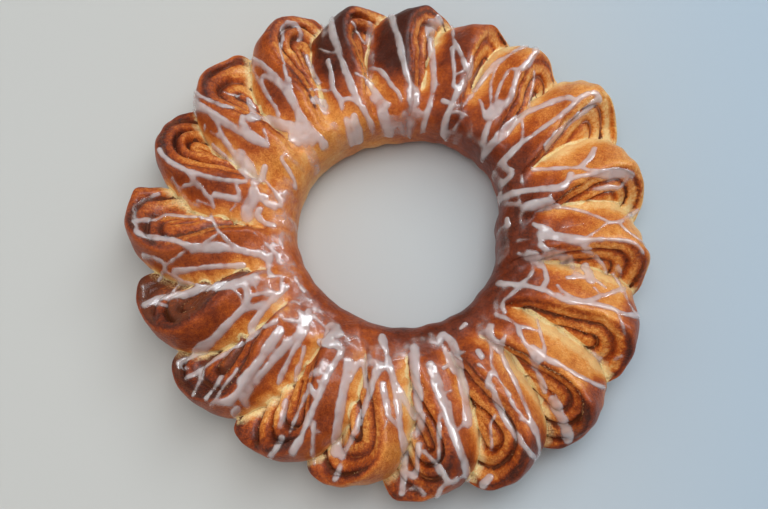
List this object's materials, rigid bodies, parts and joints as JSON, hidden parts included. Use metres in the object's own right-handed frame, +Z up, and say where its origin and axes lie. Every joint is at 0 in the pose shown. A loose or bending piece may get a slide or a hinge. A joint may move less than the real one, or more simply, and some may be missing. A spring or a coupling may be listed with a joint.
{
  "type": "cinnamon roll wreath",
  "caption": "Ring of sweet cinnamon rolls baked together round an open middle, each roll leaning so that its filled swirl shows.",
  "frame": {"origin": "under the middle of the wreath, on the surface that it rests on", "axes": "+Z up, the shortest extent; +X to the right and +Y to the back as the picture shows it"},
  "size_m": [0.3436, 0.3374, 0.0602],
  "materials": {
    "dough": "golden to deep brown baked crust, glossy where it is glazed",
    "filling": "dark cinnamon and brown sugar, grainy and half melted"
  },
  "bodies": {
    "root": {"dough": "dough", "filling_01": "filling", "filling_02": "filling", "filling_03": "filling", "filling_04": "filling", "filling_05": "filling", "filling_06": "filling", "filling_07": "filling", "filling_08": "filling", "filling_09": "filling", "filling_10": "filling", "filling_11": "filling", "filling_12": "filling", "filling_13": "filling", "filling_14": "filling", "filling_15": "filling", "filling_16": "filling", "filling_17": "filling", "filling_18": "filling", "filling_19": "filling"}
  },
  "joints": []
}
